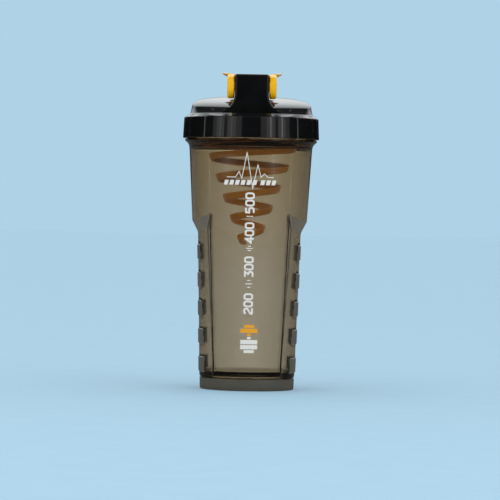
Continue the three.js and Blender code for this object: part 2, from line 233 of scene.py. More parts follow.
GLASS_TOP_LIGHT = 1.6
BOX_DISTANCE, BOX_HEIGHT, BOX_LEVEL, TUBE_WIDTH = 1.7, 1.7, 0.4, 0.07
bpy.context.scene.view_settings.view_transform = "Standard"
make_floor()
make_room()
for label, side, tube_light in (("left", -1, 0.6), ("right", 1, 2.4)):
    soft_box(label + "_box", side * 41, 1.24, 0.4)
    soft_box(label + "_inner_box", side * 43, 0.55, 0.4)
    soft_box(label + "_tube", side * 43.7, TUBE_WIDTH, tube_light)
    soft_box(label + "_edge_tube", side * 84, TUBE_WIDTH, 1.5)

# ================================================================ cup
# One injection moulding in clear polypropylene with a smoky brown tint: a foot ring, a bowl-shaped floor, a
# tapered body with a recessed grip on each side and five raised pads in each, a bead and a threaded neck.

WALL = 2.0
FOOT_RADIUS, FOOT_INNER, FOOT_HEIGHT = 33.8, 31.3, 8.0
BOWL_CENTRE, BOWL_RIM, FLOOR_RADIUS = 1.6, 8.6, 29.6
BODY_BOTTOM, BODY_TOP, BODY_TOP_RADIUS, BODY_DRAFT = 10.0, 173.5, 44.0, 0.056
STRAIGHT_TOP = 171.0  # above this the wall flares out to the bead
THROAT_RADIUS, THROAT_HEIGHT = 41.6, 175.0  # where the flare meets the bore of the neck
GRIP_RADIUS, GRIP_DRAFT, GRIP_SLOPE = 34.2, 0.027, 0.46
GRIP_EDGE = math.radians(46.8)
SHOULDER, SHOULDER_RISE = 120.0, 5.5
PAD_COUNT, PAD_FIRST, PAD_PITCH, PAD_HALF, PAD_PROUD = 5, 17.7, 20.0, 5.2, 0.65
PAD_WIDE, PAD_NARROW = math.radians(28.5), math.radians(18.5)
BEAD_RADIUS, BEAD_TOP = 47.2, 178.2
NECK_RADIUS, NECK_TOP = 43.0, 193.0
THREAD_PITCH, THREAD_TURNS, THREAD_HEIGHT, THREAD_START = 4.5, 1.35, 1.3, 182.2


def on_circle(radius, angle, z):
    """A place given by its distance from the bottle's axis, its direction and its height, in millimetres."""
    return Vector((radius * math.cos(angle), radius * math.sin(angle), z))


def step(low, high, x):
    """0 below low, 1 above high, and a smooth rise between."""
    t = min(1, max(0, (x - low) / (high - low)))
    return t * t * (3 - 2 * t)


def lesser(a, b, blend):
    """The smaller of two numbers, with the corner between them rounded."""
    h = max(0, blend - abs(a - b)) / blend
    return min(a, b) - h * h * blend / 4


def spread(low, high, count):
    """Evenly spaced numbers from low to high."""
    return [low + (high - low) * i / (count - 1) for i in range(count)]


def as_piece(mesh, name):
    """Turns a mesh under construction into a piece, with its faces turned outwards."""
    bmesh.ops.recalc_face_normals(mesh, faces=mesh.faces)
    data = bpy.data.meshes.new(name)
    mesh.to_mesh(data)
    mesh.free()
    piece = bpy.data.objects.new(name, data)
    bpy.context.scene.collection.objects.link(piece)
    return piece


def skin(name, rings, loop=False):
    """A closed mesh through rings of points, in millimetres. With loop, the last ring joins the first."""
    size = len(rings[0])
    mesh = bmesh.new()
    rows = [[mesh.verts.new(p * MM) for p in ring] for ring in rings]
    joins = list(zip(rows, rows[1:] + rows[:1])) if loop else list(zip(rows, rows[1:]))
    for low, high in joins:
        for i in range(size):
            j = (i + 1) % size
            mesh.faces.new((low[i], low[j], high[j], high[i]))
    if not loop:
        for row in (rows[0], rows[-1]):
            middle = mesh.verts.new(sum((v.co for v in row), Vector()) / size)
            for i in range(size):
                mesh.faces.new((row[i], row[(i + 1) % size], middle))
    return as_piece(mesh, name)


def carve(piece, tool, how):
    """Joins, cuts or trims a piece with another closed mesh, the tool, which is used up."""
    change = piece.modifiers.new("carve", "BOOLEAN")
    change.object = tool
    change.operation = how
    change.solver = "MANIFOLD"
    shaped = piece.evaluated_get(bpy.context.evaluated_depsgraph_get())
    data = bpy.data.meshes.new_from_object(shaped)
    piece.modifiers.clear()
    piece.data = data
    bpy.data.objects.remove(tool)


def smooth(piece, crease):
    """Shades a piece smoothly, with an edge kept where it turns by more than crease degrees."""
    piece.data.shade_smooth()
    piece.data.set_sharp_from_angle(angle=math.radians(crease))


def body_radius(z):
    """Outer radius of the tapered body."""
    return BODY_TOP_RADIUS - BODY_DRAFT * (BODY_TOP - z)


def off_side(angle):
    """How far a direction is from the nearer side of the bottle, +X or -X."""
    return abs((angle + math.pi / 2) % math.pi - math.pi / 2)


def grip_depth(angle, z):
    """How far the wall is set back from the tapered body, with slopes at the grip's sides and top."""
    side = off_side(angle)
    full = body_radius(z) - GRIP_RADIUS - GRIP_DRAFT * (z - PAD_FIRST)
    top = SHOULDER + SHOULDER_RISE * min(1, side / GRIP_EDGE) ** 2
    from_side = GRIP_SLOPE * (GRIP_EDGE - side) * body_radius(z)
    from_top = GRIP_SLOPE * (top - z)
    slopes = lesser(from_side, from_top, 0.35)
    return max(0, lesser(slopes, full, 0.7)) if slopes > 0 else 0


def pad_height(angle, z):
    """How far the nearest pad stands proud of the grip."""
    nearest = min(PAD_COUNT - 1, max(0, round((z - PAD_FIRST) / PAD_PITCH)))
    along = abs(z - PAD_FIRST - nearest * PAD_PITCH)
    share = min(1, max(0, (z - PAD_FIRST) / (PAD_PITCH * (PAD_COUNT - 1))))
    edge = PAD_WIDE + (PAD_NARROW - PAD_WIDE) * share
    across = (edge - off_side(angle)) * body_radius(z)
    return PAD_PROUD * step(-0.45, 0.45, PAD_HALF - along) * step(-0.45, 0.45, across)


def cup_directions():
    """Directions round the cup, close together where the pads and the grips have their edges."""
    degrees = spread(0, 16, 7)[:-1] + spread(16, 31, 19)[:-1]
    degrees += spread(31, 49, 25)[:-1] + spread(49, 90, 13)
    quarter = [math.radians(d) for d in degrees]
    half = quarter + [math.pi - a for a in reversed(quarter[:-1])]
    return half + [a + math.pi for a in half[1:-1]]


def cup_levels():
    """Heights up the cup's outside, close together at the pads' edges and the grips' shoulders."""
    levels = [BODY_BOTTOM]
    for k in range(PAD_COUNT):
        middle = PAD_FIRST + k * PAD_PITCH
        for edge in (middle - PAD_HALF, middle + PAD_HALF):
            levels += spread(edge - 0.5, edge + 0.5, 5)
        levels += [middle, middle + PAD_PITCH / 2 - 2, middle + PAD_PITCH / 2 + 2]
    levels += spread(109.5, 127.5, 27) + spread(131, STRAIGHT_TOP, 9)
    return sorted(levels)


def thread_rib(name, wall, height, start):
    """A screw thread rib on a round wall; a negative height gives a rib that faces inwards."""
    steps = 150
    buried = -math.copysign(0.4, height)
    rings = []
    for i in range(steps + 1):
        along = i / steps
        angle = along * THREAD_TURNS * math.tau
        fade = min(1, min(along, 1 - along) * 14)
        crest = wall + height * fade + buried * 0.5 * (1 - fade)
        z = start + THREAD_PITCH * angle / math.tau
        corners = [(wall + buried, -1), (wall + buried, 1), (crest, 0.5), (crest, -0.5)]
        rings.append([on_circle(r, angle, z + dz) for r, dz in corners])
    return skin(name, rings)


def bowl(radius):
    """Height of the underside of the bowl-shaped floor."""
    return BOWL_CENTRE + (BOWL_RIM - BOWL_CENTRE) * (radius / FOOT_INNER) ** 2


def make_cup():
    """The cup as one skin: up the outside from the middle of the foot, over the rim and down the inside."""
    around = cup_directions()

    def ring(radius, z):
        return [on_circle(radius, a, z) for a in around]

    def outside(z):
        return [on_circle(body_radius(z) - grip_depth(a, z) + pad_height(a, z), a, z) for a in around]

    def inside(z):
        return [on_circle(body_radius(z) - grip_depth(a, z) - WALL, a, z) for a in around]

    rings = [ring(r, bowl(r)) for r in spread(1, FOOT_INNER - 1.5, 14)]
    foot = [(FOOT_INNER - 0.5, bowl(FOOT_INNER) - 0.4), (FOOT_INNER, bowl(FOOT_INNER) - 1.6)]
    foot += [(FOOT_INNER, 0.6), (FOOT_INNER + 0.2, 0.15), (FOOT_INNER + 0.7, 0)]
    foot += [(FOOT_RADIUS - 1.3, 0), (FOOT_RADIUS - 0.6, 0.25), (FOOT_RADIUS - 0.25, 0.9)]
    foot += [(FOOT_RADIUS - 0.1, 3), (FOOT_RADIUS, FOOT_HEIGHT - 0.4)]
    foot += [(FOOT_RADIUS - 0.1, FOOT_HEIGHT), (FOOT_RADIUS - 0.5, FOOT_HEIGHT + 0.25)]
    foot += [(FOOT_RADIUS - 0.5, FOOT_HEIGHT + 0.7), (FOOT_RADIUS, FOOT_HEIGHT + 1.1)]
    rings += [ring(r, z) for r, z in foot]
    rings += [outside(z) for z in cup_levels()]
    for lift, flare in [(2.2, 0.35), (3.6, 0.95), (4.6, 1.75), (5.3, 2.7), (5.6, 3.0)]:
        rings.append(ring(body_radius(STRAIGHT_TOP) + flare, STRAIGHT_TOP + lift))
    neck = [(BEAD_RADIUS, BEAD_TOP - 1.1), (BEAD_RADIUS - 0.1, BEAD_TOP - 0.4)]
    neck += [(BEAD_RADIUS - 0.6, BEAD_TOP), (NECK_RADIUS + 0.4, BEAD_TOP)]
    neck += [(NECK_RADIUS, BEAD_TOP + 0.5), (NECK_RADIUS, NECK_TOP - 0.8)]
    neck += [(NECK_RADIUS - 0.6, NECK_TOP), (NECK_RADIUS - WALL + 0.5, NECK_TOP)]
    neck += [(NECK_RADIUS - WALL, NECK_TOP - 0.7), (NECK_RADIUS - WALL, BEAD_TOP - 1)]
    rings += [ring(r, z) for r, z in neck + [(THROAT_RADIUS, THROAT_HEIGHT)]]
    for low, high, count in ((128, 172, 9), (106, 127, 22), (BODY_BOTTOM + 3.5, 103, 24)):
        rings += [inside(z) for z in reversed(spread(low, high, count))]
    rings += [ring(FLOOR_RADIUS + 1.8, BODY_BOTTOM + 2.2), ring(FLOOR_RADIUS + 1, BODY_BOTTOM + 1.2)]
    rings += [ring(r, bowl(r) + WALL) for r in reversed(spread(1, FLOOR_RADIUS, 14))]
    cup = skin("cup_moulding", rings)
    carve(cup, thread_rib("rib", NECK_RADIUS, THREAD_HEIGHT, THREAD_START), "UNION")
    smooth(cup, 40)
    return cup


def between(nodes, link, pattern, low, high):
    """Turns a pattern into a number that runs from low to high."""
    ramp = nodes.new("ShaderNodeMapRange")
    ramp.inputs["From Min"].default_value = 0.35
    ramp.inputs["From Max"].default_value = 0.65
    ramp.inputs["To Min"].default_value = low
    ramp.inputs["To Max"].default_value = high
    link(pattern, ramp.inputs["Value"])
    return ramp.outputs["Result"]


def relief(nodes, link, shader, pattern, strength, depth):
    """Gives the surface a fine relief from a pattern, depth in metres."""
    bump = nodes.new("ShaderNodeBump")
    bump.inputs["Strength"].default_value = strength
    bump.inputs["Distance"].default_value = depth
    link(pattern, bump.inputs["Height"])
    link(bump.outputs["Normal"], shader.inputs["Normal"])


def tinted_plastic(name, tint, frosted=False):
    """Clear plastic, tinted right through, so that it is darkest where the eye looks along the wall.

    It has faint flow marks up the wall and a slightly hazy surface. Frosted is where the mould is
    spark-eroded, so that the plastic feels rough and lets less light through.
    """
    rough, clear, edge = (0.42, 0.7, 0) if frosted else (0.07, 1, 0.36)
    material, nodes, shader, link = new_material(name)
    flow = spots(nodes, link, 26, 3, (1, 1, 0.12))
    low = two_tone(nodes, link, flow, [c * 0.96 for c in tint], tint)
    # painted shade: towards the neck the colour is painted darker and browner, where the lid shades the cup
    neck_shaded_tint = [c * share for c, share in zip(tint, NECK_PAINTED_SHADE)]
    high = two_tone(nodes, link, flow, [c * 0.96 for c in neck_shaded_tint], neck_shaded_tint)
    place = nodes.new("ShaderNodeTexCoord")
    split = nodes.new("ShaderNodeSeparateXYZ")
    link(place.outputs["Object"], split.inputs["Vector"])
    climb = nodes.new("ShaderNodeMapRange")
    climb.inputs["From Min"].default_value = 0.075
    climb.inputs["From Max"].default_value = 0.17
    link(split.outputs["Z"], climb.inputs["Value"])
    mix = nodes.new("ShaderNodeMix")
    mix.data_type = "RGBA"
    link(climb.outputs["Result"], mix.inputs["Factor"])
    link(low, mix.inputs["A"])
    link(high, mix.inputs["B"])
    facing = nodes.new("ShaderNodeLayerWeight")
    facing.inputs["Blend"].default_value = 0.5
    slant = nodes.new("ShaderNodeMath")
    slant.operation = "MULTIPLY"
    slant.inputs[1].default_value = edge
    link(facing.outputs["Facing"], slant.inputs[0])
    deep = nodes.new("ShaderNodeMix")
    deep.data_type = "RGBA"
    deep.inputs["B"].default_value = (0.12, 0.11, 0.07, 1)
    link(slant.outputs["Value"], deep.inputs["Factor"])
    link(mix.outputs["Result"], deep.inputs["A"])
    link(deep.outputs["Result"], shader.inputs["Base Color"])
    grit = spots(nodes, link, 900, 2)
    link(between(nodes, link, grit, rough * 0.85, rough * 1.15), shader.inputs["Roughness"])
    shader.inputs["IOR"].default_value = 1.45
    shader.inputs["Transmission Weight"].default_value = clear
    dye = nodes.new("ShaderNodeVolumeAbsorption")
    dye.inputs["Color"].default_value = (0.584, 0.522, 0.384, 1)
    dye.inputs["Density"].default_value = 500
    link(dye.outputs["Volume"], nodes["Material Output"].inputs["Volume"])
    if frosted:
        relief(nodes, link, shader, grit, 0.12, 0.0001)
    else:
        relief(nodes, link, shader, flow, 0.1, 0.0002)
    return material


def finish_outside(cup):
    """Gives the raised pads, the shoulders of the grips and the outside of the foot their finishes."""
    cup.data.materials.append(tinted_plastic("frosted_grip_pad", (0.30, 0.31, 0.26), frosted=True))
    cup.data.materials.append(tinted_plastic("frosted_grip_shoulder", (0.50, 0.48, 0.42), frosted=True))
    cup.data.materials.append(tinted_plastic("rubbed_foot", (0.25, 0.25, 0.21), frosted=True))
    pad, shoulder, foot = 1, 2, 3
    for face in cup.data.polygons:
        middle = face.center / MM
        angle = math.atan2(middle.y, middle.x)
        radius = math.hypot(middle.x, middle.y)
        if 0.5 < middle.z < FOOT_HEIGHT and radius > FOOT_RADIUS - 1:
            face.material_index = foot
        depth = grip_depth(angle, middle.z)
        if middle.z <= BODY_BOTTOM or radius < body_radius(middle.z) - depth - 0.5:
            continue
        if pad_height(angle, middle.z) > 0.25 * PAD_PROUD:
            face.material_index = pad
        if depth > 0.15 and face.normal.z < -0.25:
            face.material_index = shoulder


NECK_PAINTED_SHADE = (0.90, 0.85, 0.75)  # painted shade: the colour is painted darker and browner towards the neck, where the lid shades the cup
cup = make_cup()
cup.data.materials.clear()
cup.data.materials.append(tinted_plastic("smoky_clear_plastic", (0.97, 0.97, 0.95)))
finish_outside(cup)
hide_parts("cup")
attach(cup, "cup")

# ================================================================ print on the cup
# Screen-printed ink on the front of the cup, a hair proud of the wall: a pulse line over a row of slanted
# blocks, an upright volume scale with its numbers turned to read upwards, and a dumbbell in two colours.

INK_LOW, INK_HIGH = 0.03, 0.1  # height of the ink's two faces above the wall


def ink_place(u, z, height):
    """A place on the cup's front, u millimetres to the right of the middle."""
    radius = body_radius(z) + height
    return on_circle(radius, -math.pi / 2 + u / radius, z) * MM


def ink_strip(mesh, rows):
    """A closed thin slab of ink along rows of points across its width."""
    low = [[mesh.verts.new(ink_place(u, z, INK_LOW)) for u, z in row] for row in rows]
    high = [[mesh.verts.new(ink_place(u, z, INK_HIGH)) for u, z in row] for row in rows]
    last = len(rows[0]) - 1
    for i in range(len(rows) - 1):
        for k in range(last):
            mesh.faces.new((high[i][k], high[i][k + 1], high[i + 1][k + 1], high[i + 1][k]))
            mesh.faces.new((low[i][k], low[i + 1][k], low[i + 1][k + 1], low[i][k + 1]))
        for k in (0, last):
            mesh.faces.new((low[i][k], high[i][k], high[i + 1][k], low[i + 1][k]))
    for i in (0, -1):
        for k in range(last):
            mesh.faces.new((low[i][k], low[i][k + 1], high[i][k + 1], high[i][k]))


def line(mesh, points, width, closed=False):
    """A line of ink of even width with mitred corners, in short lengths so that it follows the wall."""
    fine = []
    path = points + points[:1] if closed else points
    for a, b in zip(path, path[1:]):
        pieces = max(1, round(math.dist(a, b) / 1.5))
        fine += [Vector(a).lerp(Vector(b), i / pieces) for i in range(pieces)]
    fine.append(Vector(path[-1]))
    rows = []
    for i, here in enumerate(fine):
        before = fine[i - 1] if i else (fine[-2] if closed else here)
        after = fine[i + 1] if i < len(fine) - 1 else (fine[1] if closed else here)
        into = (here - before).normalized() if here != before else (after - here).normalized()
        out = (after - here).normalized() if here != after else into
        across = Vector((-(into + out).y, (into + out).x)).normalized()
        flat = Vector((-into.y, into.x))
        reach = width / 2 / max(0.5, across.dot(flat))
        rows.append([tuple(here - across * reach), tuple(here + across * reach)])
    ink_strip(mesh, rows)


def block(mesh, corners):
    """A four-cornered patch of ink, from lower left, lower right, upper right and upper left."""
    a, b, c, d = (Vector(p) for p in corners)
    across = max(1, round((b - a).length / 1.2))
    rows = [[tuple(a.lerp(b, k / across)) for k in range(across + 1)]]
    rows.append([tuple(d.lerp(c, k / across)) for k in range(across + 1)])
    ink_strip(mesh, rows)


def bar(mesh, middle, half, low, high):
    """An upright rectangle of ink that reaches half to each side of its middle."""
    left, right = middle - half, middle + half
    block(mesh, [(left, low), (right, low), (right, high), (left, high)])


NUMERALS = {
    "0": [([(0, 0.2), (0, 0.8), (0.2, 1), (0.8, 1), (1, 0.8), (1, 0.2), (0.8, 0), (0.2, 0)], True)],
    "2": [([(0, 0.8), (0.2, 1), (0.8, 1), (1, 0.8), (1, 0.6), (0, 0.2), (0, 0), (1.1, 0)], False)],
    "3": [([(0, 1), (1, 1), (0.55, 0.58), (1, 0.4), (1, 0.2), (0.8, 0), (0, 0)], False)],
    "4": [([(0.8, -0.08), (0.8, 1), (0, 0.3), (0.6, 0.3)], False), ([(0.98, 0.3), (1.2, 0.3)], False)],
    "5": [([(1, 1), (0.1, 1), (0.05, 0.58), (0.8, 0.58), (1, 0.4), (1, 0.2), (0.8, 0), (0, 0)], False)],
}


def numeral(mesh, digit, right, foot, wide, tall, stroke):
    """A number turned a quarter to the left, to read upwards. It stands on the line at right."""
    for path, closed in NUMERALS[digit]:
        line(mesh, [(right - y * tall, foot + x * wide) for x, y in path], stroke, closed)


def print_piece(name, draw, material):
    """Makes one printed mark from its drawing and fixes it to the cup."""
    mesh = bmesh.new()
    draw(mesh)
    bmesh.ops.remove_doubles(mesh, verts=mesh.verts, dist=1e-7)
    piece = as_piece(mesh, name)
    piece.data.materials.append(material)
    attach(piece, "cup")


def printed_ink(name, light, dark):
    """Matt ink that shows a trace of the weave of the printing screen."""
    material, nodes, shader, link, weave = clouded(name, 2200, 1, dark, light)
    link(between(nodes, link, weave, 0.4, 0.55), shader.inputs["Roughness"])
    return material


def draw_pulse(mesh):
    """A level line with one heartbeat in the middle."""
    beat = [(-17, 151), (-10.5, 151), (-8, 155), (-6, 150), (-2.5, 168.5), (1.8, 142.8), (5.2, 160)]
    beat += [(7.6, 151), (10, 153.5), (12.5, 151), (17, 151)]
    line(mesh, beat, 0.5)


def draw_blocks(mesh):
    """A row of nine slanted blocks, with a gap after the sixth."""
    foot, top, wide, slant = 145.6, 149.0, 2.9, 0.9
    for k in range(9):
        left = -19.2 + k * 4.1 + (1.6 if k > 5 else 0)
        block(mesh, [(left, foot), (left + wide, foot), (left + wide + slant, top), (left + slant, top)])


def draw_scale(mesh):
    """A number for each 100 ml, and three marks between each two."""
    levels = (62, 88, 112, 133)
    for digit, height in zip("2345", levels):
        foot = height - 7.0
        for k, shape in enumerate(digit + "00"):
            numeral(mesh, shape, 2.8, foot + k * 5.1, 3.5, 5.4, 1.25)
    for low, high in zip(levels, levels[1:]):
        for k, half in enumerate((1.1, 2.3, 1.1)):
            z = low + 11.5 + (high - low - 21) * k / 2
            bar(mesh, 0.2, half, z - 0.3, z + 0.3)


def draw_weight(mesh, plates):
    """The plates and the bar of one half of a dumbbell that stands on end."""
    for low, high, half in plates:
        bar(mesh, 1, half, low, high)


white_ink = printed_ink("white_ink", (0.80, 0.84, 0.82), (0.74, 0.78, 0.76))
amber_ink = printed_ink("amber_ink", (0.86, 0.42, 0.01), (0.78, 0.36, 0.01))
print_piece("print_pulse_line", draw_pulse, white_ink)
print_piece("print_slanted_blocks", draw_blocks, white_ink)
print_piece("print_volume_scale", draw_scale, white_ink)
LOWER_PLATES = [(27.2, 29.2, 3.6), (29.8, 32.8, 6.0), (33.4, 36.4, 6.0), (37, 38.6, 1.3)]
UPPER_PLATES = [(39.2, 40.8, 1.3), (41.4, 44.4, 6.0), (45, 47, 3.6)]
print_piece("print_weight_lower", lambda mesh: draw_weight(mesh, LOWER_PLATES), white_ink)
print_piece("print_weight_upper", lambda mesh: draw_weight(mesh, UPPER_PLATES), amber_ink)

# ================================================================ screw lid
# One injection moulding in black polypropylene with a mirror gloss: a collar of eight round lobes with a
# thread inside, a raised deck that slopes down to the front, a hinge tower at the front and a spout behind.

COLLAR_BOTTOM, COLLAR_TOP = 178.7, 193.9
COLLAR_RADIUS, COLLAR_TOP_RADIUS, COLLAR_INNER = 48.7, 48.0, 45.0
LOBES, LOBE_OFFSET, LOBE_FILLET = 8, 11.6, 0.35
LEDGE = 196.0
SKIRT_OUTER, SKIRT_INNER, SKIRT_BOTTOM, SKIRT_TOP = 40.5, 39.0, 185.5, 195.4
DECK_RADIUS, DECK_FOOT, DECK_RIM, DECK_TILT = 42.6, 43.7, 201.8, math.radians(6)
DECK_BULGE, DECK_POWER, DECK_THICK = 5.8, 5, 2.0
HINGE_Y, HINGE_Z, CROWN, SOCKET, SOCKET_DEPTH = -28.6, 215.0, 8.7, 3.0, 2.4
TOWER_HALF, TOWER_FRONT, TOWER_BACK, TOWER_LEAN, TOWER_EDGE, BROW = 11.8, -38.4, -18.4, 0.6, 1.4, 1.6
TOWER_WALL, TOWER_FRONT_WALL, HOLLOW_RADIUS = 3.2, 3.3, 38.6
FLARE_TOP, FLARE_BOTTOM, FLARE = 211.0, 198.0, 9.2
TOWER_FOOT_HALF, TOWER_FOOT_BACK = 19.0, -13.8
SPOUT_Y, SPOUT_OUTER, SPOUT_BORE, SPOUT_TOP = 20.0, 12.4, 10.2, 219.6


def deck_height(radius, angle, lift=0.0):
    """Height of the deck's tilted, domed top."""
    dome = DECK_BULGE * math.sqrt(max(0, 1 - (radius / DECK_RADIUS) ** DECK_POWER))
    return DECK_RIM + radius * math.sin(angle) * math.tan(DECK_TILT) + dome + lift


def lobed(radius, angle):
    """Distance to a wall of round lobes whose crests are at radius, with a small fillet in each groove."""
    pitch = math.tau / LOBES
    off = abs(angle - pitch * round(angle / pitch))
    across = LOBE_OFFSET * math.sin(off)
    wall = LOBE_OFFSET * math.cos(off) + math.sqrt((radius - LOBE_OFFSET) ** 2 - across**2)
    seam = max(0, 1 - (pitch / 2 - off) * radius / 0.8)
    return wall - LOBE_FILLET * seam * seam


def lid_shell():
    """Collar, ledge, skirt and deck, as one closed skin."""
    pitch = math.tau / LOBES
    near = 1.2 / COLLAR_RADIUS
    lobe = spread(-pitch / 2, near - pitch / 2, 7)[:-1] + spread(near - pitch / 2, pitch / 2 - near, 25)
    lobe += spread(pitch / 2 - near, pitch / 2, 7)[1:-1]
    around = [k * pitch + a for k in range(LOBES) for a in lobe]

    def ring(radius, z):
        return [on_circle(radius, a, z) for a in around]

    def collar(radius, z):
        return [on_circle(lobed(radius, a), a, z) for a in around]

    def tilted(radius, lift):
        return [on_circle(radius, a, deck_height(radius, a, lift)) for a in around]

    rings = [tilted(r, -DECK_THICK) for r in (0.5, 8, 16, 24, 30, 35, SKIRT_INNER)]
    rings += [ring(SKIRT_INNER, SKIRT_BOTTOM), ring(SKIRT_OUTER - 0.3, SKIRT_BOTTOM)]
    rings += [ring(SKIRT_OUTER, SKIRT_BOTTOM + 1), ring(SKIRT_OUTER, SKIRT_TOP)]
    rings += [ring(COLLAR_INNER, SKIRT_TOP), ring(COLLAR_INNER, COLLAR_BOTTOM + 1)]
    rings.append(ring(COLLAR_INNER + 0.8, COLLAR_BOTTOM))
    foot = [(0.5, 0), (0.2, 0.08), (0.05, 0.25), (0.02, 0.6), (0.1, 2.2)]
    rings += [collar(COLLAR_RADIUS - inset, COLLAR_BOTTOM + rise) for inset, rise in foot]
    brow = [(-0.11, 2.4), (-0.04, 1.0), (0.05, 0.45), (0.35, 0.1), (0.8, 0)]
    rings += [collar(COLLAR_TOP_RADIUS - inset, COLLAR_TOP - fall) for inset, fall in brow]
    rings += [ring(DECK_FOOT + 0.7, LEDGE - 0.25), ring(DECK_FOOT + 0.15, LEDGE + 0.05)]
    rings += [ring(DECK_FOOT - 0.05, LEDGE + 0.5)]
    rings += [tilted(DECK_RADIUS * math.sin(t), 0) for t in spread(math.pi / 2, 0.02, 30)]
    return skin("screw_lid_moulding", rings)


def rounded_rectangle(x0, x1, y0, y1, radius, z):
    """Corner points of a flat rounded rectangle, anticlockwise from above."""
    steps = 6
    corners = [(x1, y0, -0.25), (x1, y1, 0), (x0, y1, 0.25), (x0, y0, 0.5)]
    points = []
    for x, y, turn in corners:
        cx = x - math.copysign(radius, x - (x0 + x1) / 2)
        cy = y - math.copysign(radius, y - (y0 + y1) / 2)
        for k in range(steps + 1):
            a = math.tau * (turn + 0.25 * k / steps)
            points.append(Vector((cx + radius * math.cos(a), cy + radius * math.sin(a), z)))
    return points


def tower_foot():
    """The tower's foot, which widens to both sides in a hollow curve."""
    foot = (-TOWER_FOOT_HALF, TOWER_FOOT_HALF, TOWER_FRONT, TOWER_FOOT_BACK)
    rings = [rounded_rectangle(*foot, TOWER_EDGE, LEDGE)]
    for fall in [0.99] + [math.sin(t) for t in spread(1.42, 0.0, 26)]:
        z = FLARE_TOP - fall * (FLARE_TOP - FLARE_BOTTOM)
        wider = FLARE * (1 - math.sqrt(max(0, 1 - fall**2)))
        half = TOWER_HALF - 0.05 + wider
        back = TOWER_BACK - 0.2 + wider * 0.5
        rings.append(rounded_rectangle(-half, half, TOWER_FRONT + 0.02, back, TOWER_EDGE, z))
    return skin("tower_foot", rings)


def tower_outline(front, back, crown, foot, inset):
    """The tower from the side, as Y and Z: a flat front, a rounded brow, and a back round the hinge."""
    points = [(back - inset, foot), (back - inset - 0.1, foot + 6)]
    radius = crown - inset
    for a in spread(0, math.pi / 2, 18):
        points.append((HINGE_Y + radius * math.cos(a), HINGE_Z + radius * math.sin(a)))
    brow_y, brow_z = front + TOWER_LEAN + BROW, HINGE_Z + crown - BROW
    brow = max(0.3, BROW - inset)
    for a in spread(0, math.pi / 2, 9):
        points.append((brow_y - brow * math.sin(a), brow_z + brow * math.cos(a)))
    return points + [(front + inset, foot)]


def tower_block(name, half, front, back, crown, foot, rounding):
    """The tower's upright block, with its edges rounded."""
    turns = spread(0, math.pi / 2, 7) if rounding else [0]
    insets = [(rounding * (1 - math.cos(t)), rounding * (1 - math.sin(t))) for t in turns]
    sides = [(-half + x, inset) for x, inset in insets]
    sides += [(half - x, inset) for x, inset in reversed(insets)]
    rings = []
    for x, inset in sides:
        rings.append([Vector((x, y, z)) for y, z in tower_outline(front, back, crown, foot, inset)])
    return skin(name, rings)


def cross_pin(name, radius, x0, x1):
    """A round bar along the hinge's axis."""
    turns = [math.tau * i / 40 for i in range(40)]
    ring = [(HINGE_Y + radius * math.cos(a), HINGE_Z + radius * math.sin(a)) for a in turns]
    return skin(name, [[Vector((x, y, z)) for y, z in ring] for x in (x0, x1)])


def slab(name, low, high):
    """A plain block for cutting."""
    (x0, y0, z0), (x1, y1, z1) = low, high
    corners = ((x0, y0), (x1, y0), (x1, y1), (x0, y1))
    return skin(name, [[Vector((x, y, z)) for x, y in corners] for z in (z0, z1)])


def lathe(name, profile, sides, centre=(0, 0)):
    """A solid of revolution about an upright axis, from [radius, z] corners."""
    shift = Vector((*centre, 0))
    turns = [on_circle(1, math.tau * i / sides, 0) for i in range(sides)]
    rings = [[Vector((r * t.x, r * t.y, z)) + shift for t in turns] for r, z in profile if r > 0]
    closes = all(r > 0 for r, _ in profile)
    return skin(name, rings, loop=closes)


def make_lid():
    """The shell with the spout and the tower joined on, then hollowed, socketed and threaded."""
    lid = lid_shell()
    spout = [(0, 203), (SPOUT_OUTER + 3.2, 203), (SPOUT_OUTER + 2.2, 207.6), (SPOUT_OUTER + 0.7, 209.6)]
    spout += [(SPOUT_OUTER + 0.15, 211.6), (SPOUT_OUTER, 214), (SPOUT_OUTER, SPOUT_TOP - 0.9)]
    spout += [(SPOUT_OUTER - 0.3, SPOUT_TOP - 0.25), (SPOUT_OUTER - 1, SPOUT_TOP), (0, SPOUT_TOP)]
    carve(lid, lathe("spout", spout, 96, (0, SPOUT_Y)), "UNION")
    carve(lid, slab("front_cut", (-30, -60, LEDGE + 0.05), (30, TOWER_FRONT, 230)), "DIFFERENCE")
    carve(lid, tower_foot(), "UNION")
    tower = tower_block("block", TOWER_HALF, TOWER_FRONT, TOWER_BACK, CROWN, LEDGE + 1, TOWER_EDGE)
    carve(lid, tower, "UNION")
    bore = [(0, 190), (SPOUT_BORE, 190), (SPOUT_BORE, 230), (0, 230)]
    carve(lid, lathe("bore", bore, 96, (0, SPOUT_Y)), "DIFFERENCE")
    roof = LEDGE + 2.7
    hollow = lathe("hollow", [(0, 189), (HOLLOW_RADIUS, 189), (HOLLOW_RADIUS, roof), (0, roof)], 96)
    inner_front = TOWER_FRONT + TOWER_FRONT_WALL
    carve(hollow, slab("behind", (-50, inner_front, 180), (50, 50, 210)), "INTERSECT")
    carve(lid, hollow, "DIFFERENCE")
    inner_half = TOWER_HALF - TOWER_WALL
    pocket = tower_block("pocket", inner_half, inner_front, TOWER_BACK - 2.5, CROWN - 2.6, LEDGE - 2, 0)
    carve(lid, pocket, "DIFFERENCE")
    floor = TOWER_HALF - SOCKET_DEPTH
    carve(lid, cross_pin("right_socket", SOCKET, floor, TOWER_HALF + 1), "DIFFERENCE")
    carve(lid, cross_pin("left_socket", SOCKET, -TOWER_HALF - 1, -floor), "DIFFERENCE")
    rib_start = THREAD_START - THREAD_PITCH / 2 + 0.15
    carve(lid, thread_rib("lid_rib", COLLAR_INNER, -THREAD_HEIGHT, rib_start), "UNION")
    smooth(lid, 30)
    return lid


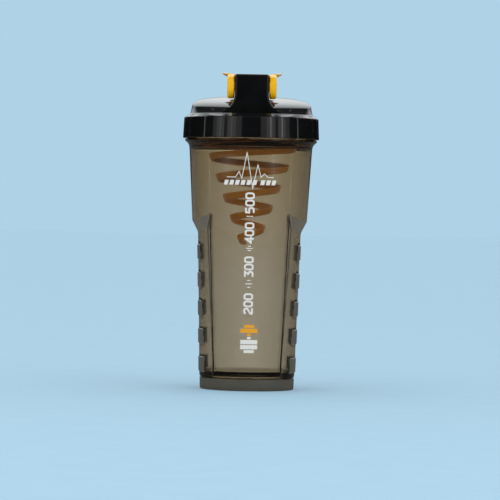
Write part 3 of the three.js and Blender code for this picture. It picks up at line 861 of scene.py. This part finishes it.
def black_gloss():
    """Black plastic from a polished mould: a deep gloss with the faintest haze and fine rub marks."""
    blacks = (0.0035, 0.0038, 0.004), (0.006, 0.0065, 0.007)
    material, nodes, shader, link, _ = clouded("black_gloss_plastic", 60, 3, *blacks)
    rubbed = spots(nodes, link, 420, 4, (1, 1, 0.15))
    link(between(nodes, link, rubbed, 0.05, 0.1), shader.inputs["Roughness"])
    shader.inputs["IOR"].default_value = 1.5
    ripple = spots(nodes, link, 90, 1, (1, 1, 0.3))
    relief(nodes, link, shader, ripple, 0.05, 0.0002)
    return material


lid = make_lid()
lid.data.materials.clear()
lid.data.materials.append(black_gloss())
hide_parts("screw_lid")
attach(lid, "lid")

# ================================================================ lid gasket
# A soft silicone ring between the rim of the neck and the underside of the lid, pressed into the lid and
# held there by its own stretch. Its upper and lower faces are slightly crowned, so that they seal.


def silicone(name, light, dark):
    """Soft matt rubber with a little dust in its surface."""
    material, nodes, shader, link, dust = clouded(name, 900, 3, dark, light)
    link(between(nodes, link, dust, 0.5, 0.68), shader.inputs["Roughness"])
    relief(nodes, link, shader, dust, 0.2, 0.0001)
    return material


def round_corners(profile, radius):
    """Replaces each corner of a closed outline by a short arc."""
    steps = 4
    path = []
    for i, corner in enumerate(profile):
        here = Vector(corner)
        before = Vector(profile[i - 1]) - here
        after = Vector(profile[(i + 1) % len(profile)]) - here
        reach = min(radius, before.length * 0.45, after.length * 0.45)
        start = here + before.normalized() * reach
        end = here + after.normalized() * reach
        for k in range(steps + 1):
            t = k / steps
            path.append(tuple(start * (1 - t) ** 2 + here * 2 * t * (1 - t) + end * t * t))
    return path


GASKET_SECTION = [(40.8, 193.5), (41.9, 193.35), (43.5, 193.35), (44.6, 193.5)]
GASKET_SECTION += [(44.6, 194.9), (43.5, 195.05), (41.9, 195.05), (40.8, 194.9)]
gasket = lathe("lid_gasket_ring", round_corners(GASKET_SECTION, 0.3), 128)
smooth(gasket, 60)
gasket.data.materials.append(silicone("grey_silicone", (0.13, 0.13, 0.14), (0.10, 0.10, 0.11)))
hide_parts("lid_gasket")
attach(gasket, "gasket")

# ================================================================ flip cap
# One moulding in glossy amber plastic. Two round ears snap into the tower by their bosses, two arms lead
# back to a hood that goes over the spout, and a broad thumb plate with raised edges covers them.

EAR_RADIUS, EAR_INNER, EAR_OUTER, BOSS = 8.5, 12.4, 17.4, 2.7
ARM_INNER, ARM_BACK, ARM_BOTTOM, ARM_TOP = 13.0, 12.0, 217.2, 224.0
HOOD_OUTER, HOOD_INNER, HOOD_BOTTOM, HOOD_CEILING, HOOD_TOP = 16.0, 13.8, 213.4, 221.6, 223.0
PLATE_FRONT, PLATE_WIDEST, PLATE_BACK, PLATE_FRONT_HALF, PLATE_HALF = -17.2, 18.0, 36.6, 17.4, 21.3
PLATE_TOP, PLATE_HOLLOW, PLATE_RISE, PLATE_THICK = 223.4, 0.0055, 0.025, 1.8
POST_RADIUS, POST_LENGTH = 4.2, 3.4


def make_ear(side):
    """A round ear with soft edges, and the boss on its inner face."""
    tip = TOWER_HALF - SOCKET_DEPTH + 0.3
    path = [(BOSS - 0.5, tip), (BOSS, tip + 0.5), (BOSS, EAR_INNER)]
    for edge, middle in ((1.1, -math.pi / 2), (1.6, 0)):
        x = EAR_INNER + edge if middle else EAR_OUTER - edge
        for a in spread(middle, middle + math.pi / 2, 9):
            path.append((EAR_RADIUS - edge + edge * math.cos(a), x + edge * math.sin(a)))
    path += [(4.6, EAR_OUTER), (4.2, EAR_OUTER - 0.3)]
    turns = spread(0, math.tau, 73)[:-1]
    rings = []
    for r, x in path:
        ring = [(HINGE_Y + r * math.cos(a), HINGE_Z + r * math.sin(a)) for a in turns]
        rings.append([Vector((side * x, y, z)) for y, z in ring])
    return skin("ear", rings)


def make_arm(side):
    """The arm behind an ear, which grows shallower towards the hood."""
    x0, x1 = sorted((side * ARM_INNER, side * EAR_OUTER))
    rings = []
    for y in spread(HINGE_Y + 0.5, ARM_BACK, 24):
        along = (y - HINGE_Y) / (ARM_BACK - HINGE_Y)
        bottom = ARM_BOTTOM - 6.5 * (1 - step(-0.25, 0.42, along))
        crown = HINGE_Z + math.sqrt(max(0, EAR_RADIUS**2 - (y - HINGE_Y) ** 2)) - 0.05
        top = ARM_TOP if y > HINGE_Y + 5 else min(ARM_TOP, crown)
        flat = rounded_rectangle(x0, x1, bottom, top, 0.9, y)
        rings.append([Vector((p.x, p.z, p.y)) for p in flat])
    return skin("arm", rings)


def plate_half(y):
    """Half the width of the thumb plate."""
    if y > PLATE_WIDEST:
        beyond = (y - PLATE_WIDEST) / (PLATE_BACK - PLATE_WIDEST)
        return PLATE_HALF * math.sqrt(max(0, 1 - beyond**2))
    along = (y - PLATE_FRONT) / (PLATE_WIDEST - PLATE_FRONT)
    return PLATE_FRONT_HALF + (PLATE_HALF - PLATE_FRONT_HALF) * step(0, 1, along)


def plate_top(x, y):
    """Height of the thumb plate's top: hollow across, and rising a little to the back."""
    return PLATE_TOP + PLATE_HOLLOW * x * x + PLATE_RISE * (y - PLATE_FRONT)


def make_plate():
    """The thumb plate, with its edge rounded all the way round."""
    ys = [PLATE_FRONT + 1.2 * (1 - math.cos(t)) for t in spread(0, math.pi / 2, 6)]
    corner = [PLATE_FRONT_HALF - 1.2 * (1 - math.sin(t)) for t in spread(0, math.pi / 2, 6)]
    right = list(zip(corner, ys))
    right += [(plate_half(y), y) for y in spread(PLATE_FRONT + 3, PLATE_WIDEST, 16)]
    for t in spread(0.1, math.pi / 2 - 0.04, 18):
        y = PLATE_WIDEST + (PLATE_BACK - PLATE_WIDEST) * math.sin(t)
        right.append((plate_half(y), y))
    front = [(x, PLATE_FRONT) for x in spread(-12, 12, 7)]
    outline = front + right + [(0, PLATE_BACK)] + [(-x, y) for x, y in reversed(right)]
    middle = (PLATE_FRONT + PLATE_BACK) / 2

    def layer(share, drop, inset=0.0):
        """The outline drawn in to a share of its size, at a drop below the top."""
        ring = []
        for x, y in outline:
            reach = max(0.1, math.hypot(x, y - middle) * share - inset) / math.hypot(x, y - middle)
            px, py = x * reach, middle + (y - middle) * reach
            ring.append(Vector((px, py, plate_top(px, py) - drop(px, py))))
        return ring

    def under(x, y):
        """Drop to the underside, which reaches down to the hood."""
        return max(PLATE_THICK, plate_top(x, y) - HOOD_TOP + 0.2)

    rings = [layer(s, under) for s in (0.05, 0.3, 0.5, 0.65, 0.75)]
    for turn in spread(-math.pi / 2, math.pi / 2, 11):
        inset = 0.75 * (1 - math.cos(turn))
        drop = 0.75 - 0.75 * math.sin(turn)
        rings.append(layer(1, lambda x, y, d=drop: d, inset))
    rings += [layer(s, lambda x, y: 0) for s in (0.85, 0.7, 0.5, 0.3, 0.05)]
    return skin("flip_cap_moulding", rings)


def make_cap():
    """The plate with the hood and its post, the arms and the ears joined on."""
    cap = make_plate()
    post_end = HOOD_CEILING - POST_LENGTH
    hood = [(0, post_end), (POST_RADIUS - 0.5, post_end), (POST_RADIUS, post_end + 0.5)]
    hood += [(POST_RADIUS, HOOD_CEILING), (HOOD_INNER - 0.6, HOOD_CEILING)]
    hood += [(HOOD_INNER, HOOD_CEILING - 0.6), (HOOD_INNER, HOOD_BOTTOM + 0.4)]
    hood += [(HOOD_INNER + 0.4, HOOD_BOTTOM), (HOOD_OUTER - 0.7, HOOD_BOTTOM)]
    hood += [(HOOD_OUTER - 0.2, HOOD_BOTTOM + 0.2), (HOOD_OUTER, HOOD_BOTTOM + 0.7)]
    hood += [(HOOD_OUTER, HOOD_TOP + 0.3), (0, HOOD_TOP + 0.3)]
    carve(cap, lathe("hood", hood, 96, (0, SPOUT_Y)), "UNION")
    for side in (1, -1):
        carve(cap, make_arm(side), "UNION")
        carve(cap, make_ear(side), "UNION")
    smooth(cap, 30)
    return cap


def amber_gloss():
    """Amber plastic with an even gloss and the faintest clouding."""
    ambers = (0.88, 0.48, 0.004), (0.93, 0.53, 0.006)
    material, nodes, shader, link, _ = clouded("amber_gloss_plastic", 55, 2, *ambers)
    link(between(nodes, link, spots(nodes, link, 500, 3), 0.16, 0.26), shader.inputs["Roughness"])
    return material


cap = make_cap()
cap.data.materials.clear()
cap.data.materials.append(amber_gloss())
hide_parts("flip_cap")
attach(cap, "cap")

# ================================================================ spout plug
# A soft silicone plug, pushed onto the post under the hood. Its tapered end closes the spout's bore, and
# its flange lies just above the spout's rim.

PLUG_TOP, PLUG_BOTTOM, PLUG_FLANGE, PLUG_LOW, GAP = 9.4, 8.9, 11.6, 214.4, 0.3
plug_seat, plug_roof = SPOUT_TOP + GAP, HOOD_CEILING - GAP
plug_hole, plug_floor = POST_RADIUS + GAP, HOOD_CEILING - POST_LENGTH - GAP
PLUG_SECTION = [(0, PLUG_LOW + 0.6), (4, PLUG_LOW + 0.35), (PLUG_BOTTOM - 1.2, PLUG_LOW)]
PLUG_SECTION += [(PLUG_BOTTOM - 0.3, PLUG_LOW + 0.2), (PLUG_BOTTOM, PLUG_LOW + 0.9)]
PLUG_SECTION += [(PLUG_TOP - 0.2, plug_seat - 2.2), (PLUG_TOP, plug_seat)]
PLUG_SECTION += [(PLUG_FLANGE - 0.3, plug_seat), (PLUG_FLANGE, plug_seat + 0.3)]
PLUG_SECTION += [(PLUG_FLANGE, plug_roof - 0.3), (PLUG_FLANGE - 0.3, plug_roof)]
PLUG_SECTION += [(plug_hole, plug_roof), (plug_hole, plug_floor), (0, plug_floor)]
plug = lathe("spout_plug_seal", PLUG_SECTION, 96, (0, SPOUT_Y))
smooth(plug, 35)
plug.data.materials.append(silicone("white_silicone", (0.80, 0.76, 0.68), (0.72, 0.68, 0.60)))
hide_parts("spout_plug")
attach(plug, "cap")

# ================================================================ spiral mixer
# One moulding in orange plastic: a flat ribbon wound on a cone, hanging from a ring that snaps into the
# skirt of the lid. It breaks up lumps of powder as the bottle is shaken.

RING_INNER, RING_OUTER, RING_LIP = 36.4, 38.6, 40.2
RING_BOTTOM, LIP_TOP, RING_TOP = 183.4, 185.2, 189.0
COIL_PITCH, COIL_BOTTOM, COIL_TOP, COIL_TAPER = 14.6, 103.9, 185.5, 0.368
COIL_LEVEL, COIL_RADIUS, COIL_ANGLE = 165.2, 28.9, math.pi
RIBBON_WIDE, RIBBON_THICK = 4.8, 1.6


def make_ribbon():
    """The ribbon, from its narrow lower tip up to the snap ring."""
    per_turn, sides = 72, 16
    steps = round((COIL_TOP - COIL_BOTTOM) / COIL_PITCH * per_turn)
    rings = []
    for i in range(steps + 1):
        z = COIL_BOTTOM + (COIL_TOP - COIL_BOTTOM) * i / steps
        angle = COIL_ANGLE + (z - COIL_LEVEL) / COIL_PITCH * math.tau
        radius = COIL_RADIUS + COIL_TAPER * (z - COIL_LEVEL)
        tip = math.sqrt(min(1, (i + 0.6) / 9))
        half, side = RIBBON_WIDE / 2 * tip, RIBBON_THICK / 2 * (0.5 + 0.5 * tip)
        ring = []
        for k in range(sides):
            a = math.tau * k / sides
            across = side * math.copysign(abs(math.cos(a)) ** 0.55, math.cos(a))
            up = half * math.copysign(abs(math.sin(a)) ** 0.4, math.sin(a))
            ring.append(on_circle(radius + across + COIL_TAPER * up, angle, z + up))
        rings.append(ring)
    return skin("spiral_mixer_moulding", rings)


def orange_plastic():
    """Orange plastic, a little cloudy, with a satin surface."""
    oranges = (0.86, 0.34, 0.012), (0.95, 0.42, 0.02)
    material, nodes, shader, link, _ = clouded("orange_plastic", 70, 3, *oranges)
    link(between(nodes, link, spots(nodes, link, 600, 2), 0.28, 0.4), shader.inputs["Roughness"])
    return material


mixer = make_ribbon()
snap_ring = [(RING_INNER, RING_BOTTOM), (RING_LIP, RING_BOTTOM), (RING_LIP, LIP_TOP)]
snap_ring += [(RING_OUTER, LIP_TOP), (RING_OUTER, RING_TOP), (RING_INNER, RING_TOP)]
carve(mixer, lathe("snap_ring", round_corners(snap_ring, 0.35), 128), "UNION")
smooth(mixer, 40)
mixer.data.materials.clear()
mixer.data.materials.append(orange_plastic())
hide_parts("spiral_mixer")
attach(mixer, "lid")
